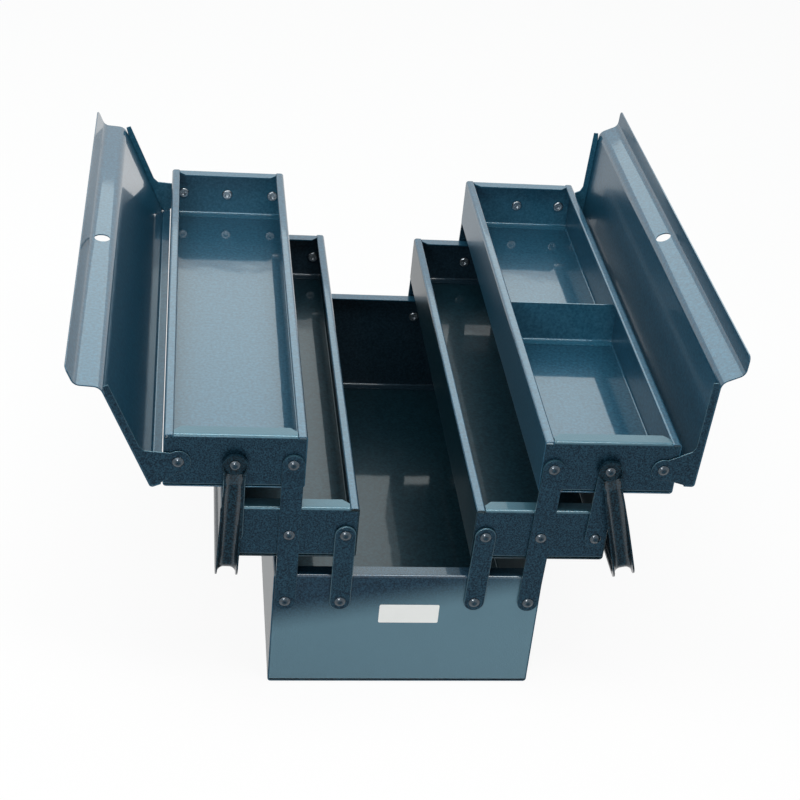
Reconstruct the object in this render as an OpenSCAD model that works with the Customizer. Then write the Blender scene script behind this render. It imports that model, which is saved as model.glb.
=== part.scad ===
// Cantilever tool box of folded sheet steel, standing opened out
// Millimetres. X runs across the box, Y along it, Z up. The origin is under the middle of the base.
// Everything on one side is drawn for the +X side, where outwards is +X, and mirrored for the left.

/* [Box] */
// Length of the base and the trays, over their end walls
box_l = 430; // [300:5:560]
// Width of the base, over its side walls
base_w = 200; // [170:2:260]
// Height of the base, to the top of its rim
base_h = 102; // [84:1:140]
// Height of each tray, to the top of its rim
tray_h = 43.5; // [38:0.5:52]
// Gap between the two stacks of trays where they meet in the middle
tray_gap = 1; // [0.6:0.2:3]
// Gap between a closed tray and the rim that it closes on
stack_gap = 1.3; // [0.4:0.1:2]

/* [Sheet metal] */
// Thickness of the box, tray and lid sheet
sheet = 1; // [0.8:0.1:1.4]
// Inside radius of the folds in the sheet
fold_r = 1.5; // [0.8:0.1:3]
// Width of the folded rim along a side wall
side_rim_w = 7; // [5:0.5:10]
// Depth of the small lip turned down under a side rim
rim_lip = 2.8; // [2.4:0.1:4]
// Inside radius where that lip turns down
rim_lip_r = 0.4; // [0.2:0.1:0.8]
// Width of the folded rim along an end wall
end_rim_w = 11; // [7:0.5:14]
// Mitre at the ends of an end wall's rim
end_rim_mitre = 5; // [2:0.5:6]
// Width of the flange that joins an end wall to the floor
foot_flange = 9; // [6:0.5:14]

/* [Linkage] */
// Distance of a tray's first pivot from the tray's side wall
pivot_inset = 9; // [7:0.5:16]
// Width of an arm
arm_w = 15.5; // [12:0.5:17]
// Thickness of an arm
arm_t = 2; // [1.5:0.1:3]
// Depth of every row of pivots below the rim of its tray or base
pivot_drop = 22.5; // [20:0.5:28]
// Lean of the left arms past upright, outwards
lean_left = 0; // [-2:0.1:4]
// Lean of the right arms past upright, outwards
lean_right = 1.7; // [-2:0.1:4]

/* [Rivets] */
// Diameter of a rivet's shank
rivet_d = 5; // [4:0.2:6]
// Diameter of a rivet's head
rivet_head_d = 8.6; // [7.4:0.2:10]
// Height of a rivet's head
rivet_head_h = 1.8; // [1.2:0.1:2.4]
// Diameter of the ring that closes a rivet inside the tray
rivet_ring_d = 9.4; // [7:0.2:9.6]
// Thickness of that ring
rivet_ring_h = 1.5; // [1:0.1:1.8]
// Radial clearance of a turning hole round its rivet
turn_clear = 0.08; // [0.04:0.01:0.1]
// Sideways gap beside each layer that turns on a rivet
layer_gap = 0.3; // [0.2:0.05:0.5]

/* [Lids] */
// Angle of the left lid's roof above the outward horizontal
lid_angle_left = 67; // [60:0.5:168]
// Angle of the right lid's roof above the outward horizontal
lid_angle_right = 87.5; // [60:0.5:168]
// Distance of the lid's pivots from the tray's outer wall
lid_pivot_inset = 10.5; // [9:0.5:12]
// Depth of the lid's pivots below the tray's rim
lid_pivot_drop = 22; // [20:0.5:26]
// Height of the roof above the lid's pivots, with the roof level
roof_rise = 26; // [24:0.5:32]
// Reach of the roof outwards past the pivots
roof_out = 13; // [12:0.2:15]
// Distance of the foot of the ridge from the tray's inner side wall, with the lid shut
ridge_inset = 13.8; // [10:0.2:20]
// Height of the ridge step above the roof
ridge_h = 15.5; // [10:0.2:18]
// Sideways run of the ridge step
ridge_run = 8; // [5:0.2:12]
// Width of the lip on top of the ridge
lip_w = 15; // [10:0.2:18]
// Inside radius of the fold at the foot of the ridge
ridge_foot_r = 7; // [3:0.5:9]
// Inside radius of the fold under the lip
ridge_top_r = 6; // [2:0.5:6]
// Radius that rounds the ends of the lip
lip_corner_r = 4; // [2:1:12]
// Depth of the lid's outer flange
lid_flange = 8; // [7:0.5:10]
// Width of the flanges that close the lid's ends
end_flange = 6; // [5:0.5:8]
// Radius of the ear round the lid's pivot
ear_r = 8.8; // [8:0.2:9.6]
// Reach of the ear inwards, to where the flange begins
ear_reach = 17; // [14:0.5:22]
// Diameter of the padlock hole in the ridge
lock_hole_d = 12; // [8:0.5:13]

/* [Handles] */
// Angle of the left handle from hanging straight down, outwards
handle_angle_left = 2; // [0:0.5:20]
// Angle of the right handle from hanging straight down, outwards
handle_angle_right = 14.5; // [0:0.5:20]
// Distance from the handle's pivots to the back of its grip
handle_reach = 89; // [86:0.5:100]
// Width of the handle's channel
channel_w = 16; // [13:0.5:17]
// Depth of the handle's channel
channel_d = 7; // [6:0.2:9]
// Thickness of the handle's sheet
handle_sheet = 1.2; // [1:0.1:1.6]
// Inside radius of the channel's two folds
channel_r = 5; // [2:0.1:5.6]
// Radius of the bend from leg to grip, at the back of the channel
handle_bend_r = 6; // [4:0.5:12]
// Outer radius of the eye round the handle's pivot
eye_r = 9.2; // [8.8:0.2:10]
// Height of the shallow rim round the eye
eye_rim_h = 3; // [2.4:0.2:5]
// Length of the slope between the eye's plate and the leg's
eye_slope_l = 7; // [5:0.5:10]

/* [Divider] */
// Distance of the divider behind the middle of the right upper tray
divider_y = 2; // [-60:1:60]
// Height of the divider
divider_h = 35; // [20:1:38]

/* [Hidden] */

// The two sides and the two ends
LEFT = -1;
RIGHT = 1;
FRONT = -1;
REAR = 1;

// Colours of the painted steel
box_colour = [0.20, 0.31, 0.38];
lid_colour = [0.27, 0.40, 0.47];
arm_colour = [0.16, 0.26, 0.33];
rivet_colour = [0.36, 0.47, 0.54];

// Flat steps in each fold, and a cut's run past the face it goes through
fold_steps = 6;
past = 1;
$fn = 48;

// Trays and pivots, in the closed box
tray_w = (base_w - tray_gap) / 2;
closed_rise = tray_h + stack_gap;
pivot_pitch = tray_w / 2 - pivot_inset;
closed_shift = pivot_pitch;
arm_l = sqrt(closed_rise * closed_rise + closed_shift * closed_shift);
roof_in = tray_w - lid_pivot_inset - ridge_inset;
outer_pivot_x = tray_gap / 2 + tray_w / 2 + closed_shift;
inner_pivot_x = outer_pivot_x - pivot_pitch;
base_pivot_z = base_h - pivot_drop;
tray_pivot_z = tray_h - pivot_drop;

// Layers outside an end wall: arm or lid ear, then the handle's eye, then its leg
wall_y = box_l / 2;
arm_y = wall_y + layer_gap;
arm_head_y = arm_y + arm_t + layer_gap;
ear_head_y = arm_y + sheet + layer_gap;
eye_y = arm_head_y;
eye_head_y = eye_y + handle_sheet + layer_gap;
leg_y = arm_head_y + rivet_head_h + layer_gap;
lid_end_y = arm_y + sheet;

function lean(side) = side == LEFT ? lean_left : lean_right;
function lid_angle(side) = side == LEFT ? lid_angle_left : lid_angle_right;
function handle_angle(side) = side == LEFT ? handle_angle_left : handle_angle_right;

// Step from one pivot of an arm to the next, and the inner bottom corner of a tray
function arm_step(side) = arm_l * [sin(lean(side)), cos(lean(side))];
function tray_corner(side, level) =
    [tray_gap / 2, base_h + stack_gap + (level - 1) * closed_rise]
    + level * (arm_step(side) + [closed_shift, -closed_rise]);
function tray_pivot(side, level, hole) =
    tray_corner(side, level) + [pivot_inset + hole * pivot_pitch, tray_pivot_z];
function lid_pivot(side) =
    tray_corner(side, 2) + [tray_w - lid_pivot_inset, tray_h - lid_pivot_drop];

// Folded sheet: points [x, y, inside radius] along one face, with the thickness on its left
function flat(p) = [p.x, p.y];
function unit(v) = v / norm(v);
function left_of(d) = [-d.y, d.x];
function turned(v, a) = [v.x * cos(a) - v.y * sin(a), v.x * sin(a) + v.y * cos(a)];
function turn_from(d, e) = atan2(d.x * e.y - d.y * e.x, d.x * e.x + d.y * e.y);
function fold_arc(p, v, q, t, k) =
    let(d = unit(flat(v) - flat(p)), a = turn_from(d, unit(flat(q) - flat(v))), s = sign(a),
        face = s > 0 ? v.z + t : v.z,
        centre = flat(v) - d * face * tan(abs(a) / 2) + s * face * left_of(d))
    [for (i = [0:fold_steps]) centre - s * (face - s * k) * turned(left_of(d), a * i / fold_steps)];
function face_line(p, t, k) =
    let(last = len(p) - 1, d0 = unit(flat(p[1]) - flat(p[0])), d1 = unit(flat(p[last]) - flat(p[last - 1])))
    concat([flat(p[0]) + k * left_of(d0)],
        [for (i = [1:last - 1]) each fold_arc(p[i - 1], p[i], p[i + 1], t, k)],
        [flat(p[last]) + k * left_of(d1)]);
function backwards(l) = [for (i = [len(l) - 1:-1:0]) l[i]];

module folded(p, t) {
    polygon(concat(face_line(p, t, 0), backwards(face_line(p, t, t))));
}

// Turns a drawing in X and Z into a plate or bar that runs along Y, centred on y
module along_y(y, length) {
    translate([0, y + length / 2, 0])
        rotate([90, 0, 0])
            linear_extrude(length)
                children();
}

// Turns a drawing in Y and Z into a bar that runs along X from x
module along_x(x, length) {
    translate([x, 0, 0])
        rotate([90, 0, 90])
            linear_extrude(length)
                children();
}

// Mirrors what is drawn for the right side and the rear end
module on(side, end) {
    mirror([side == LEFT ? 1 : 0, 0, 0])
        mirror([0, end == FRONT ? 1 : 0, 0])
            children();
}

// Trough of floor, side walls and rims, w wide and h high, from x = 0
module trough(w, h) {
    along_y(0, box_l)
        folded([[side_rim_w, h - rim_lip, 0], [side_rim_w, h, rim_lip_r], [0, h, fold_r], [0, 0, fold_r],
            [w, 0, fold_r], [w, h, fold_r], [w - side_rim_w, h, rim_lip_r],
            [w - side_rim_w, h - rim_lip, 0]], sheet);
}

// Outline of the space inside a trough, with its mouth between the rims
module trough_space(w, h) {
    shoulder = h - rim_lip;
    polygon(face_line([[0, shoulder, 0], [0, 0, fold_r], [w, 0, fold_r], [w, shoulder, 0]], sheet, sheet));
    translate([side_rim_w, shoulder - past])
        square([w - 2 * side_rim_w, rim_lip + past]);
}

// Rear end wall of a trough, folded in over the floor and at the rim, with rivet holes at [x, z]
module end_wall(w, h, holes) {
    difference() {
        intersection() {
            along_x(0, w)
                folded([[wall_y - foot_flange, sheet, 0], [wall_y, sheet, fold_r],
                    [wall_y, h, fold_r], [wall_y - end_rim_w, h, 0]], sheet);
            along_y(wall_y, 2 * end_rim_w + 2 * foot_flange)
                trough_space(w, h);
        }
        for (x = [side_rim_w, w - side_rim_w])
            translate([x, wall_y - end_rim_w, h - rim_lip - past])
                rotate([0, 0, 45])
                    cube([end_rim_mitre * sqrt(2), end_rim_mitre * sqrt(2), 2 * rim_lip + 2 * past], center = true);
        for (p = holes)
            translate([p.x, wall_y, p.y])
                rotate([90, 0, 0])
                    cylinder(d = rivet_d, h = 4 * sheet, center = true);
    }
}

// Rivet along Y at x, z, with its domed head seated at head_y outside the rear end wall
module rivet(x, z, head_y) {
    dome_r = (rivet_head_d * rivet_head_d / 4 + rivet_head_h * rivet_head_h) / (2 * rivet_head_h);
    dome_half = asin(rivet_head_d / 2 / dome_r);
    tail_y = wall_y - sheet - rivet_ring_h;
    hollow_r = 0.38 * rivet_d;
    dome = [for (i = [fold_steps:-1:0])
        [dome_r * sin(dome_half * i / fold_steps),
            head_y + rivet_head_h - dome_r + dome_r * cos(dome_half * i / fold_steps)]];
    ring_mid = rivet_ring_h / 2;
    translate([x, 0, z])
        rotate([-90, 0, 0])
            rotate_extrude()
                polygon(concat(dome, [[0, tail_y + rivet_ring_h], [hollow_r, tail_y + rivet_ring_h],
                    [hollow_r, tail_y], [rivet_ring_d / 2 - ring_mid, tail_y],
                    [rivet_ring_d / 2, tail_y + ring_mid], [rivet_ring_d / 2, wall_y - sheet],
                    [rivet_d / 2, wall_y - sheet], [rivet_d / 2, head_y]]));
}

// Flat arm with round ends, from the first pivot through count more, for the rear end
module arm(side, start, count) {
    translate([start.x, arm_y, start.y])
        rotate([0, lean(side), 0])
            rotate([90, 0, 0])
                mirror([0, 0, 1])
                    linear_extrude(arm_t)
                        difference() {
                            union() {
                                translate([-arm_w / 2, 0])
                                    square([arm_w, count * arm_l]);
                                for (i = [0, count])
                                    translate([0, i * arm_l])
                                        circle(d = arm_w);
                            }
                            for (i = [0:count])
                                translate([0, i * arm_l])
                                    circle(r = rivet_d / 2 + turn_clear);
                        }
}

// The base
module base_shell() {
    color(box_colour)
        translate([-base_w / 2, 0, 0])
            trough(base_w, base_h);
}

module base_end(end) {
    holes = [for (x = [inner_pivot_x, outer_pivot_x], s = [LEFT, RIGHT]) [base_w / 2 + s * x, base_pivot_z]];
    color(box_colour)
        on(RIGHT, end)
            translate([-base_w / 2, 0, 0])
                end_wall(base_w, base_h, holes);
}

module base_rivets() {
    color(rivet_colour)
        for (side = [LEFT, RIGHT], end = [FRONT, REAR], x = [inner_pivot_x, outer_pivot_x])
            on(side, end)
                rivet(x, base_pivot_z, arm_head_y);
}

// The trays: level 1 is the lower one and level 2 the upper one
module tray_shell(side, level) {
    corner = tray_corner(side, level);
    color(box_colour)
        on(side, REAR)
            translate([corner.x, 0, corner.y])
                trough(tray_w, tray_h);
}

module tray_end(side, level, end) {
    corner = tray_corner(side, level);
    color(box_colour)
        on(side, end)
            translate([corner.x, 0, corner.y])
                end_wall(tray_w, tray_h, [for (hole = [0:2])
                    (level == 2 && hole == 2 ? lid_pivot(side) : tray_pivot(side, level, hole)) - corner]);
}

module lower_tray_rivets(side) {
    color(rivet_colour)
        for (end = [FRONT, REAR], hole = [0:2])
            on(side, end)
                rivet(tray_pivot(side, 1, hole).x, tray_pivot(side, 1, hole).y, arm_head_y);
}

module upper_tray_rivets(side) {
    color(rivet_colour)
        for (end = [FRONT, REAR])
            on(side, end) {
                rivet(tray_pivot(side, 2, 0).x, tray_pivot(side, 2, 0).y, arm_head_y);
                rivet(lid_pivot(side).x, lid_pivot(side).y, ear_head_y);
            }
}

module handle_rivets(side) {
    pivot = tray_pivot(side, 2, 1);
    color(rivet_colour)
        for (end = [FRONT, REAR])
            on(side, end)
                rivet(pivot.x, pivot.y, eye_head_y);
}

module tray_divider() {
    corner = tray_corner(RIGHT, 2);
    color(box_colour)
        translate([corner.x, 0, corner.y])
            intersection() {
                along_x(0, tray_w)
                    folded([[divider_y - foot_flange, sheet, 0], [divider_y, sheet, fold_r],
                        [divider_y, sheet + divider_h, 0]], sheet);
                along_y(divider_y, 4 * foot_flange)
                    trough_space(tray_w, tray_h);
            }
}

// The arms
module inner_arm(side, end) {
    color(arm_colour)
        on(side, end)
            arm(side, [inner_pivot_x, base_pivot_z], 1);
}

module long_arm(side, end) {
    color(arm_colour)
        on(side, end)
            arm(side, [outer_pivot_x, base_pivot_z], 2);
}

module short_arm(side, end) {
    color(arm_colour)
        on(side, end)
            arm(side, tray_pivot(side, 1, 2), 1);
}

// Carries a lid drawn round its pivot, with the roof level and running to +X, to its place
module at_lid(side) {
    pivot = lid_pivot(side);
    translate([pivot.x, 0, pivot.y])
        rotate([0, -lid_angle(side), 0])
            mirror([0, 0, 1])
                children();
}

// The lid's roof with its outer flange, its ridge and its lip
module lid_roof(side) {
    lip_x = roof_in + ridge_run + lip_w;
    ridge_top = roof_rise + ridge_h;
    ridge_slope = atan2(ridge_h, ridge_run);
    lid_l = 2 * lid_end_y;
    color(lid_colour)
        on(side, REAR)
            at_lid(side)
                difference() {
                    along_y(0, lid_l)
                        folded([[lip_x, ridge_top, 0], [roof_in + ridge_run, ridge_top, ridge_top_r],
                            [roof_in, roof_rise, ridge_foot_r], [-roof_out, roof_rise, fold_r],
                            [-roof_out, roof_rise - lid_flange, 0]], sheet);
                    translate([roof_in + ridge_run / 2, 0, roof_rise + ridge_h / 2])
                        rotate([0, -ridge_slope, 0])
                            cylinder(d = lock_hole_d, h = 6 * sheet, center = true);
                    for (end = [FRONT, REAR])
                        mirror([0, end == FRONT ? 1 : 0, 0])
                            difference() {
                                translate([lip_x - lip_corner_r, lid_end_y - lip_corner_r, roof_rise])
                                    cube([lip_corner_r + past, lip_corner_r + past, ridge_h + past]);
                                translate([lip_x - lip_corner_r, lid_end_y - lip_corner_r, roof_rise - past])
                                    cylinder(r = lip_corner_r, h = ridge_h + 3 * past);
                            }
                }
}

// End plate of a lid: a narrow flange under the roof that widens into the ear on the pivot
module lid_ear(side, end) {
    under = roof_rise - sheet;
    inside = -roof_out + sheet;
    neck = [0.85 * ear_r, 0.8 * ear_r];
    color(lid_colour)
        on(side, end)
            at_lid(side)
                translate([0, arm_y, 0])
                    rotate([90, 0, 0])
                        mirror([0, 0, 1])
                            linear_extrude(sheet)
                                difference() {
                                    union() {
                                        circle(r = ear_r);
                                        polygon([[inside + fold_r, under], [inside, under - fold_r],
                                            [inside, roof_rise - lid_flange],
                                            [-neck[0], 0], [neck[1], -sheet],
                                            [ear_reach, roof_rise - lid_flange],
                                            [ear_reach + fold_r + end_flange / 2, roof_rise - end_flange],
                                            [roof_in, roof_rise - end_flange],
                                            [roof_in, under - sheet], [roof_in - ridge_foot_r, under]]);
                                    }
                                    circle(r = rivet_d / 2 + turn_clear);
                                }
}

// The handle's channel: its path, outline and hollow, its back at x = at, open to +X, its width along Y
function channel_path(at) = [[at + channel_d, channel_w / 2, 0], [at, channel_w / 2, channel_r],
    [at, -channel_w / 2, channel_r], [at + channel_d, -channel_w / 2, 0]];

module channel(at) {
    folded(channel_path(at), handle_sheet);
}

module channel_hollow() {
    polygon(face_line(channel_path(0), handle_sheet, handle_sheet));
}

// Carries the channel's drawing to a leg at y, from z up, leaning in towards the box
module up_leg(y, z, lean, length) {
    translate([0, -y, z])
        rotate([-lean, 0, 0])
            rotate([0, 0, -90])
                linear_extrude(length)
                    children();
}

// Pressed handle: two legs with eyes, joined by the grip in one channel that opens outwards
module handle(side) {
    pivot = tray_pivot(side, 2, 1);
    bend_z = handle_reach - handle_bend_r;
    grip_l = 2 * (leg_y - handle_bend_r);
    rim_y = leg_y + channel_d;
    trim_lean = atan2(rim_y - eye_y - eye_rim_h, handle_reach);
    eye_in_r = eye_r - handle_sheet;
    slope_lean = atan2(leg_y - eye_y, eye_slope_l);
    slope_run = norm([leg_y - eye_y, eye_slope_l]);
    color(arm_colour)
        on(side, REAR)
            translate([pivot.x, 0, pivot.y])
                rotate([0, -handle_angle(side), 0]) {
                    translate([0, grip_l / 2, -handle_reach])
                        rotate([90, 0, 0])
                            rotate([0, 0, -90])
                                linear_extrude(grip_l)
                                    channel(0);
                    for (end = [FRONT, REAR])
                        mirror([0, end == REAR ? 1 : 0, 0]) {
                            translate([0, -leg_y + handle_bend_r, -bend_z])
                                rotate([-90, 0, 0])
                                    rotate([0, 90, 0])
                                        rotate_extrude(angle = 90)
                                            channel(handle_bend_r);
                            difference() {
                                union() {
                                    up_leg(leg_y, -bend_z, 0, bend_z)
                                        channel(0);
                                    up_leg(leg_y, -eye_in_r - eye_slope_l, slope_lean, slope_run)
                                        channel(0);
                                    translate([0, -rim_y, 0])
                                        rotate([-90, 0, 0])
                                            cylinder(r = eye_r, h = rim_y - eye_y);
                                }
                                translate([0, -rim_y - past, 0])
                                    rotate([-90, 0, 0])
                                        cylinder(r = eye_in_r, h = rim_y - eye_y - handle_sheet + past);
                                up_leg(leg_y, -eye_in_r - eye_slope_l, slope_lean, slope_run)
                                    channel_hollow();
                                up_leg(eye_y, -eye_in_r, 0, eye_in_r)
                                    channel_hollow();
                                translate([0, -rim_y - past, 0])
                                    rotate([-90, 0, 0])
                                        cylinder(r = rivet_d / 2 + turn_clear, h = rim_y - eye_y + 2 * past);
                                translate([0, -rim_y, -bend_z])
                                    rotate([-trim_lean, 0, 0])
                                        translate([-channel_w, -2 * channel_d, 0])
                                            cube([2 * channel_w, 2 * channel_d, bend_z + 2 * eye_r]);
                            }
                        }
                }
}

base_shell();
base_end(FRONT);  // base_front_end
base_end(REAR);  // base_rear_end
base_rivets();
tray_shell(LEFT, 1);  // left_lower_tray_shell
tray_end(LEFT, 1, FRONT);  // left_lower_tray_front_end
tray_end(LEFT, 1, REAR);  // left_lower_tray_rear_end
lower_tray_rivets(LEFT);  // left_lower_tray_rivets
tray_shell(LEFT, 2);  // left_upper_tray_shell
tray_end(LEFT, 2, FRONT);  // left_upper_tray_front_end
tray_end(LEFT, 2, REAR);  // left_upper_tray_rear_end
upper_tray_rivets(LEFT);  // left_upper_tray_rivets
handle_rivets(LEFT);  // left_handle_rivets
inner_arm(LEFT, FRONT);  // left_inner_arm_front
inner_arm(LEFT, REAR);  // left_inner_arm_rear
long_arm(LEFT, FRONT);  // left_long_arm_front
long_arm(LEFT, REAR);  // left_long_arm_rear
short_arm(LEFT, FRONT);  // left_short_arm_front
short_arm(LEFT, REAR);  // left_short_arm_rear
lid_roof(LEFT);  // left_lid_roof
lid_ear(LEFT, FRONT);  // left_lid_front_ear
lid_ear(LEFT, REAR);  // left_lid_rear_ear
handle(LEFT);  // left_handle
tray_shell(RIGHT, 1);  // right_lower_tray_shell
tray_end(RIGHT, 1, FRONT);  // right_lower_tray_front_end
tray_end(RIGHT, 1, REAR);  // right_lower_tray_rear_end
lower_tray_rivets(RIGHT);  // right_lower_tray_rivets
tray_shell(RIGHT, 2);  // right_upper_tray_shell
tray_end(RIGHT, 2, FRONT);  // right_upper_tray_front_end
tray_end(RIGHT, 2, REAR);  // right_upper_tray_rear_end
upper_tray_rivets(RIGHT);  // right_upper_tray_rivets
tray_divider();  // right_upper_tray_divider
handle_rivets(RIGHT);  // right_handle_rivets
inner_arm(RIGHT, FRONT);  // right_inner_arm_front
inner_arm(RIGHT, REAR);  // right_inner_arm_rear
long_arm(RIGHT, FRONT);  // right_long_arm_front
long_arm(RIGHT, REAR);  // right_long_arm_rear
short_arm(RIGHT, FRONT);  // right_short_arm_front
short_arm(RIGHT, REAR);  // right_short_arm_rear
lid_roof(RIGHT);  // right_lid_roof
lid_ear(RIGHT, FRONT);  // right_lid_front_ear
lid_ear(RIGHT, REAR);  // right_lid_rear_ear
handle(RIGHT);  // right_handle
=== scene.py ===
import bpy
import bmesh
import math
from mathutils import Matrix, Vector


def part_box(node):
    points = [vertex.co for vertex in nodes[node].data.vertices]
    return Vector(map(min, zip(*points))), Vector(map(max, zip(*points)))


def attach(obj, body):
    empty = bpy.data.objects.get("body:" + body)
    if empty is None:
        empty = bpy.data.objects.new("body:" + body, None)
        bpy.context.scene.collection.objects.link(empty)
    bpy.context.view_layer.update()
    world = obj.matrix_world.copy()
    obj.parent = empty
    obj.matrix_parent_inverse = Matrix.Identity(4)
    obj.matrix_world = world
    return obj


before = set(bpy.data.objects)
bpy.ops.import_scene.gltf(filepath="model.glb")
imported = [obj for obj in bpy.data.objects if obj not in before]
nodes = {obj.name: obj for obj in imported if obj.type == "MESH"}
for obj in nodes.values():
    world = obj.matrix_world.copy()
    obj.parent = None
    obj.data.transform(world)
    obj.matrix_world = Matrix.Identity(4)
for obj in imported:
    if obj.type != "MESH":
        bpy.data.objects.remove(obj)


# Camera: where the photograph was taken from
cameraSettings = {
    "place": (-0.17257, -1.19315, 0.87222),
    "turn": (0.5658, 0.0225, 0.1304),
    "focal_pixels": 1698.7,
    "picture_pixels": 800.0,
    "sensor": 36.0,
    "clip": (0.05, 50.0),
}


def makeCamera(settings):
    ax, ay, az = settings["turn"]
    turn = Matrix.Rotation(az, 3, "Z") @ Matrix.Rotation(ay, 3, "Y") @ Matrix.Rotation(ax, 3, "X")
    toWorld = turn.transposed()
    right, ahead, up = (toWorld @ Vector(v) for v in ((1, 0, 0), (0, 1, 0), (0, 0, 1)))
    data = bpy.data.cameras.new("camera")
    data.sensor_width = settings["sensor"]
    data.lens = settings["focal_pixels"] / settings["picture_pixels"] * settings["sensor"]
    data.clip_start, data.clip_end = settings["clip"]
    camera = bpy.data.objects.new("camera", data)
    bpy.context.scene.collection.objects.link(camera)
    pose = Matrix((right, up, -ahead)).transposed().to_4x4()
    pose.translation = Vector(settings["place"])
    camera.matrix_world = pose
    bpy.context.scene.camera = camera


makeCamera(cameraSettings)
print("camera made")


def node(tree, kind, **values):
    made = tree.nodes.new(kind)
    for key, value in values.items():
        setattr(made, key, value)
    return made


# A maths node on numbers or sockets
def maths(tree, operation, *values, clamp=False):
    made = node(tree, "ShaderNodeMath", operation=operation, use_clamp=clamp)
    for socket, value in zip(made.inputs, values):
        if isinstance(value, (int, float)):
            socket.default_value = value
        else:
            tree.links.new(value, socket)
    return made.outputs[0]


# Light: a big soft box above, a bright strip for the edges, a fill from the front and an even surround
lightSettings = {
    "surround": 0.13,
    "aim": (0.0, 0.0, 0.12),
    "lamps": [
        {"name": "top_box", "power": 17.0, "size": (2.2, 1.7),
         "place": (0.0, 0.90, 1.45), "colour": (0.84, 0.97, 0.96)},
        {"name": "edge_strip", "power": 13.0, "size": (1.4, 0.26),
         "place": (-0.15, -0.25, 1.25), "colour": (1.0, 1.0, 0.97)},
        {"name": "front_box", "power": 9.0, "size": (1.5, 0.9),
         "place": (-0.7, -1.7, 1.2), "colour": (0.96, 0.98, 1.0)},
        {"name": "front_key", "power": 4.0, "size": (0.26, 0.20),
         "place": (-0.40, -1.55, 0.60), "colour": (1.0, 1.0, 1.0)},
    ],
}


def makeLamp(lamp, aim):
    data = bpy.data.lights.new(lamp["name"], "AREA")
    data.shape = "RECTANGLE"
    data.size, data.size_y = lamp["size"]
    data.energy = lamp["power"]
    data.color = lamp["colour"]
    made = bpy.data.objects.new(lamp["name"], data)
    bpy.context.scene.collection.objects.link(made)
    made.location = lamp["place"]
    made.rotation_mode = "QUATERNION"
    made.rotation_quaternion = (Vector(aim) - Vector(lamp["place"])).to_track_quat("-Z", "Y")


# One for rays that the camera, a mirror or a clear surface sends
def seenDirectly(tree):
    path = node(tree, "ShaderNodeLightPath")
    mirrored = maths(tree, "MAXIMUM", path.outputs["Is Camera Ray"], path.outputs["Is Glossy Ray"])
    return maths(tree, "MAXIMUM", mirrored, path.outputs["Is Transmission Ray"])


def makeWorld(settings):
    world = bpy.data.worlds.new("surround")
    bpy.context.scene.world = world
    world.use_nodes = True
    tree = world.node_tree
    back = tree.nodes["Background"]
    back.inputs["Color"].default_value = (1, 1, 1, 1)
    mix = node(tree, "ShaderNodeMix")
    mix.inputs["A"].default_value = settings["surround"]
    mix.inputs["B"].default_value = 1.0
    tree.links.new(seenDirectly(tree), mix.inputs["Factor"])
    tree.links.new(mix.outputs["Result"], back.inputs["Strength"])


makeWorld(lightSettings)
for lamp in lightSettings["lamps"]:
    makeLamp(lamp, lightSettings["aim"])
print("light made")

# Floor: pale, white to the camera, and keeps the shadow
floorSettings = {"half_size": 3.0, "height": -0.0004, "shade": 0.86, "glow": 0.93}


def makeFloor(settings):
    mesh = bpy.data.meshes.new("floor")
    form = bmesh.new()
    bmesh.ops.create_grid(form, x_segments=1, y_segments=1, size=settings["half_size"])
    form.to_mesh(mesh)
    form.free()
    floor = bpy.data.objects.new("floor", mesh)
    bpy.context.scene.collection.objects.link(floor)
    floor.location.z = settings["height"]
    look = bpy.data.materials.new("floor")
    look.use_nodes = True
    tree = look.node_tree
    tree.nodes.clear()
    out = node(tree, "ShaderNodeOutputMaterial")
    matt = node(tree, "ShaderNodeBsdfDiffuse")
    matt.inputs["Color"].default_value = (settings["shade"],) * 3 + (1,)
    glow = node(tree, "ShaderNodeEmission")
    mix = node(tree, "ShaderNodeMixShader")
    tree.links.new(maths(tree, "MULTIPLY", seenDirectly(tree), settings["glow"]), mix.inputs["Fac"])
    tree.links.new(matt.outputs["BSDF"], mix.inputs[1])
    tree.links.new(glow.outputs["Emission"], mix.inputs[2])
    tree.links.new(mix.outputs["Shader"], out.inputs["Surface"])
    mesh.materials.append(look)


makeFloor(floorSettings)
print("floor made")

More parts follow.
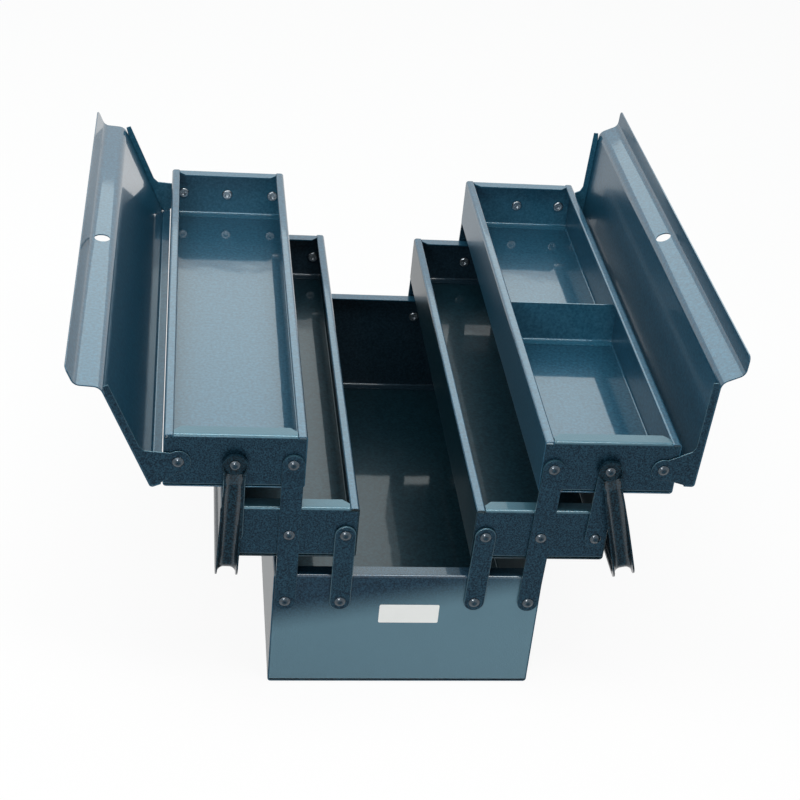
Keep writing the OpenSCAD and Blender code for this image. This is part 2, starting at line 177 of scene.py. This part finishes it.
# Paint: a glossy teal blue, smooth inside and finely hammered outside. Each kind has its two tones, the
# spread of the grain between them, the coat on the flat and on turned faces, and the axis and limits
# that say which faces are turned
paintSettings = {
    "smooth": {
        "dark": (0.010, 0.052, 0.092), "light": (0.021, 0.096, 0.158), "metal": 0.40, "rough": 0.34,
        "grain": 420.0, "spread": (0.34, 0.70), "relief": 0.05, "ripple": 0.025,
        "coat": (0.14, 1.0), "ior": 1.5, "turned": ("Z", 0.10, 0.30),
    },
    # painted shade: a darker copy of the smooth paint for the shells of the base and lower trays
    "painted_shade": {
        "dark": (0.003, 0.015, 0.024), "light": (0.009, 0.036, 0.052), "metal": 0.40, "rough": 0.34,
        "grain": 420.0, "spread": (0.34, 0.70), "relief": 0.05, "ripple": 0.025,
        "coat": (0.10, 0.5), "ior": 1.5, "turned": ("Z", 0.10, 0.30),
    },
    # painted light: a lighter copy of the smooth paint for the rear walls of the upper trays and the
    # dividers, standing in for the light and reflection on them
    "inner": {
        "dark": (0.014, 0.078, 0.130), "light": (0.030, 0.128, 0.200), "metal": 0.25, "rough": 0.32,
        "grain": 480.0, "spread": (0.34, 0.70), "relief": 0.07, "ripple": 0.025,
        "coat": (0.3, 1.0), "ior": 1.5, "turned": ("Z", 0.10, 0.30),
    },
    # painted shade: a darker paint for the rear walls of the base and lower trays
    "deep_inner": {
        "dark": (0.006, 0.018, 0.030), "light": (0.015, 0.038, 0.058), "metal": 0.35, "rough": 0.32,
        "grain": 480.0, "spread": (0.34, 0.70), "relief": 0.07, "ripple": 0.025,
        "coat": (0.2, 1.0), "ior": 1.5, "turned": ("Z", 0.10, 0.30),
    },
    "outer": {
        "dark": (0.002, 0.012, 0.024), "light": (0.016, 0.056, 0.090), "metal": 0.50, "rough": 0.32,
        "grain": 950.0, "spread": (0.36, 0.68), "relief": 0.40, "ripple": 0.03,
        # the edge tone is a painted highlight on turned faces
        "coat": (0.0, 0.35), "ior": 1.8, "turned": ("Y", 0.995, 0.90), "edge": (0.036, 0.098, 0.134),
    },
    "rivet": {
        "dark": (0.002, 0.012, 0.024), "light": (0.012, 0.044, 0.070), "metal": 0.50, "rough": 0.30,
        "grain": 950.0, "spread": (0.36, 0.68), "relief": 0.15, "ripple": 0.03,
        "coat": (0.0, 0.5), "ior": 2.0, "turned": ("Y", 0.995, 0.90),
    },
    # painted shade: a darker copy of the outer paint for the pressed handles, standing in for the shade
    # in their channels
    "painted_shade_pressed": {
        "dark": (0.0005, 0.005, 0.010), "light": (0.008, 0.034, 0.054), "metal": 0.50, "rough": 0.30,
        "grain": 800.0, "spread": (0.40, 0.62), "relief": 0.35, "ripple": 0.03,
        "coat": (0.0, 0.45), "ior": 1.8, "turned": ("Y", 0.995, 0.90),
    },
    "base_front": {
        "dark": (0.002, 0.014, 0.028), "light": (0.013, 0.048, 0.084), "metal": 0.45, "rough": 0.32,
        "grain": 900.0, "spread": (0.36, 0.66), "relief": 0.25, "ripple": 0.02,
        "coat": (0.03, 0.5), "ior": 1.8, "turned": ("Y", 0.995, 0.90),
    },
}

# What all kinds of paint share
finishSettings = {
    "specular": 0.2,
    "coat_rough": 0.05,
    "grain_detail": 2.0,
    "grain_rough": 0.6,
    "grain_height": 0.0006,
    "ripple_scale": 26.0,
    "ripple_height": 0.004,
}

# Painted reflection: the paler lower part of the front wall stands in for the ground reflected there,
# with some extra coat; the line above it starts at a place across and up and rises
paintedReflectionSettings = {
    "from": (-0.10, 0.077), "rise": 0.19, "soft": 0.032, "colour": (0.080, 0.172, 0.225),
    "coat": 0.25, "gain": 0.6, "part": 0.88,
}

# The bare end of a rivet, nearer to the middle of the box than this plane
ringSettings = {"colour": (0.34, 0.38, 0.41), "rough": 0.28, "plane": 0.2145}


def reliefOf(tree, height, strength, distance, below=None):
    relief = node(tree, "ShaderNodeBump")
    relief.inputs["Strength"].default_value = strength
    relief.inputs["Distance"].default_value = distance
    tree.links.new(height, relief.inputs["Height"])
    if below is not None:
        tree.links.new(below, relief.inputs["Normal"])
    return relief.outputs["Normal"]


def partsOf(tree, vector):
    parts = node(tree, "ShaderNodeSeparateXYZ")
    tree.links.new(vector, parts.inputs[0])
    return parts.outputs


def colourMix(tree, factor, first, second):
    mix = node(tree, "ShaderNodeMix", data_type="RGBA")
    tree.links.new(factor, mix.inputs["Factor"])
    for socket, value in zip((mix.inputs["A"], mix.inputs["B"]), (first, second)):
        if isinstance(value, tuple):
            socket.default_value = (*value, 1)
        else:
            tree.links.new(value, socket)
    return mix.outputs["Result"]


# 0 on the flat of a wall, rising to 1 on a face that is turned away from it, as an edge or a dome is
def turnedFrom(tree, coords, kind):
    axis, first, last = kind["turned"]
    spread = node(tree, "ShaderNodeMapRange")
    spread.inputs["From Min"].default_value = first
    spread.inputs["From Max"].default_value = last
    part = partsOf(tree, coords.outputs["Normal"])[axis]
    tree.links.new(maths(tree, "ABSOLUTE", part), spread.inputs["Value"])
    return spread.outputs["Result"]


def makePaint(name, kind, finish, ring=None, painted_reflection=None):
    look = bpy.data.materials.new(name)
    look.use_nodes = True
    tree = look.node_tree
    shader = tree.nodes["Principled BSDF"]
    coords = node(tree, "ShaderNodeTexCoord")
    grain = node(tree, "ShaderNodeTexNoise")
    grain.inputs["Scale"].default_value = kind["grain"]
    grain.inputs["Detail"].default_value = finish["grain_detail"]
    grain.inputs["Roughness"].default_value = finish["grain_rough"]
    tree.links.new(coords.outputs["Object"], grain.inputs["Vector"])
    spread = node(tree, "ShaderNodeMapRange")
    spread.inputs["From Min"].default_value, spread.inputs["From Max"].default_value = kind["spread"]
    tree.links.new(grain.outputs["Fac"], spread.inputs["Value"])
    tone = colourMix(tree, spread.outputs["Result"], kind["dark"], kind["light"])
    turned = turnedFrom(tree, coords, kind)
    # painted highlight: a paler tone on every face not facing front or back, on edges and rims
    if "edge" in kind:
        tone = colourMix(tree, turned, tone, kind["edge"])
    tree.links.new(tone, shader.inputs["Base Color"])
    wave = node(tree, "ShaderNodeTexNoise")
    wave.inputs["Scale"].default_value = finish["ripple_scale"]
    tree.links.new(coords.outputs["Object"], wave.inputs["Vector"])
    rippled = reliefOf(tree, wave.outputs["Fac"], kind["ripple"], finish["ripple_height"])
    grained = reliefOf(tree, grain.outputs["Fac"], kind["relief"], finish["grain_height"], rippled)
    tree.links.new(grained, shader.inputs["Normal"])
    tree.links.new(rippled, shader.inputs["Coat Normal"])
    coat = node(tree, "ShaderNodeMapRange")
    coat.inputs["To Min"].default_value, coat.inputs["To Max"].default_value = kind["coat"]
    tree.links.new(turned, coat.inputs["Value"])
    tree.links.new(coat.outputs["Result"], shader.inputs["Coat Weight"])
    shader.inputs["Metallic"].default_value = kind["metal"]
    shader.inputs["Roughness"].default_value = kind["rough"]
    shader.inputs["Specular IOR Level"].default_value = finish["specular"]
    shader.inputs["Coat Roughness"].default_value = finish["coat_rough"]
    shader.inputs["Coat IOR"].default_value = kind["ior"]
    if ring is not None:
        addRing(tree, shader, coords, ring)
    # painted reflection on the base front
    if painted_reflection is not None:
        addPaintedReflection(tree, shader, coords, tone, coat.outputs["Result"], painted_reflection)
    return look


# Painted reflection: a paler colour mixed into the base colour below a rising line, with extra coat
# there
def addPaintedReflection(tree, shader, coords, tone, coat, painted_reflection):
    parts = partsOf(tree, coords.outputs["Object"])
    along = maths(tree, "SUBTRACT", parts["X"], painted_reflection["from"][0])
    line = maths(tree, "ADD", maths(tree, "MULTIPLY", along, painted_reflection["rise"]), painted_reflection["from"][1])
    under = maths(tree, "SUBTRACT", line, parts["Z"])
    edge = node(tree, "ShaderNodeMapRange", interpolation_type="SMOOTHSTEP")
    edge.inputs["From Max"].default_value = painted_reflection["soft"]
    tree.links.new(under, edge.inputs["Value"])
    growth = maths(tree, "ADD", maths(tree, "MULTIPLY", along, painted_reflection["gain"]), painted_reflection["part"])
    share = maths(tree, "MULTIPLY", edge.outputs["Result"], growth, clamp=True)
    tree.links.new(colourMix(tree, share, tone, painted_reflection["colour"]), shader.inputs["Base Color"])
    total = maths(tree, "ADD", coat, maths(tree, "MULTIPLY", share, painted_reflection["coat"]), clamp=True)
    tree.links.new(total, shader.inputs["Coat Weight"])


def addRing(tree, shader, coords, ring):
    depth = maths(tree, "ABSOLUTE", partsOf(tree, coords.outputs["Object"])["Y"])
    bare = node(tree, "ShaderNodeBsdfPrincipled")
    bare.inputs["Base Color"].default_value = (*ring["colour"], 1)
    bare.inputs["Metallic"].default_value = 1.0
    bare.inputs["Roughness"].default_value = ring["rough"]
    mix = node(tree, "ShaderNodeMixShader")
    tree.links.new(maths(tree, "LESS_THAN", depth, ring["plane"]), mix.inputs["Fac"])
    tree.links.new(shader.outputs["BSDF"], mix.inputs[1])
    tree.links.new(bare.outputs["BSDF"], mix.inputs[2])
    tree.links.new(mix.outputs["Shader"], tree.nodes["Material Output"].inputs["Surface"])


# the base front carries the painted reflection
extras = {"rivet": {"ring": ringSettings}, "base_front": {"painted_reflection": paintedReflectionSettings}}
paints = {name: makePaint(name + "_paint", kind, finishSettings, **extras.get(name, {}))
          for name, kind in paintSettings.items()}
print("paint made")


def paintOf(name):
    high = "upper" in name or "lid" in name
    if "rivets" in name:
        return paints["rivet"]
    if name == "base_front_end":
        return paints["base_front"]
    # handles take the darker copy as painted shade
    if name.endswith("_handle"):
        return paints["painted_shade_pressed"]
    # dividers take the lighter copy as painted light
    if "divider" in name:
        return paints["inner"]
    # low shells get the darker copy as painted shade
    if "shell" in name or "roof" in name:
        return paints["smooth" if high else "painted_shade"]
    # rear walls: the lighter copy on upper pieces as painted light, the darker copy on low pieces as
    # painted shade
    if "rear_end" in name or "rear_ear" in name:
        return paints["inner" if high else "deep_inner"]
    return paints["outer"]


# Edges: every sheet edge is rounded a little, so that it catches the light. Angles are in degrees
edgeSettings = {
    "width": 0.00045, "arm_width": 0.0007, "segments": 2, "sharp": 34.0, "flat": 0.4,
    "weld": 0.000002, "normal_weight": 80, "rim": 0.0012,
}


def finishEdges(piece, name, settings):
    mesh = piece.data
    if "custom_normal" in mesh.attributes:
        mesh.attributes.remove(mesh.attributes["custom_normal"])
    mesh.shade_smooth()
    weld = piece.modifiers.new("weld", "WELD")
    weld.merge_threshold = settings["weld"]
    merge = piece.modifiers.new("merge", "DECIMATE")
    merge.decimate_type = "DISSOLVE"
    merge.angle_limit = math.radians(settings["flat"])
    bevel = piece.modifiers.new("bevel", "BEVEL")
    bevel.width = settings["arm_width" if "arm" in name or "handle" in name else "width"]
    bevel.segments = settings["segments"]
    bevel.limit_method = "ANGLE"
    bevel.angle_limit = math.radians(settings["sharp"])
    bevel.use_clamp_overlap = True
    normals = piece.modifiers.new("normals", "WEIGHTED_NORMAL")
    normals.mode = "FACE_AREA_WITH_ANGLE"
    normals.weight = settings["normal_weight"]


# The rest of a low piece carries painted shade; its rim stands in the light, so it takes the unshaded
# paint of the upper trays
def lightenRim(piece, name, settings):
    piece.data.materials.append(paints["smooth"])
    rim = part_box(name)[1].z - settings["rim"]
    for face in piece.data.polygons:
        if face.center.z > rim:
            face.material_index = 1


for name, piece in nodes.items():
    paint = paintOf(name)
    piece.data.materials.clear()
    piece.data.materials.append(paint)
    # pieces with painted shade keep their lit rim in the unshaded paint
    if paint in (paints["painted_shade"], paints["deep_inner"]):
        lightenRim(piece, name, edgeSettings)
    finishEdges(piece, name, edgeSettings)
print("nodes painted")

# Label: a blank sticker on the front of the base
labelSettings = {
    "left": -0.020, "right": 0.025, "low": 0.058, "high": 0.075, "thick": 0.00012,
    "corner": 0.0012, "corner_steps": 4, "colour": (0.80, 0.81, 0.80), "rough": 0.42,
}


def makeLabel(settings):
    left, right, low, high, thick = (settings[key] for key in ("left", "right", "low", "high", "thick"))
    form = bmesh.new()
    bmesh.ops.create_cube(form, size=1.0)
    bmesh.ops.scale(form, verts=form.verts, vec=(right - left, thick, high - low))
    upright = [e for e in form.edges if abs(e.verts[0].co.y - e.verts[1].co.y) > thick / 2]
    bmesh.ops.bevel(form, geom=upright, offset=settings["corner"], offset_type="OFFSET", affect="EDGES",
                    segments=settings["corner_steps"], profile=0.5, material=-1)
    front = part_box("base_front_end")[0].y
    middle = ((left + right) / 2, front - thick / 2, (low + high) / 2)
    bmesh.ops.translate(form, verts=form.verts, vec=middle)
    mesh = bpy.data.meshes.new("blank_label")
    form.to_mesh(mesh)
    form.free()
    label = bpy.data.objects.new("blank_label", mesh)
    bpy.context.scene.collection.objects.link(label)
    look = bpy.data.materials.new("label_film")
    look.use_nodes = True
    shader = look.node_tree.nodes["Principled BSDF"]
    shader.inputs["Base Color"].default_value = (*settings["colour"], 1)
    shader.inputs["Roughness"].default_value = settings["rough"]
    mesh.materials.append(look)
    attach(label, "base")


makeLabel(labelSettings)
print("label made")

bpy.context.scene.view_settings.view_transform = "Standard"
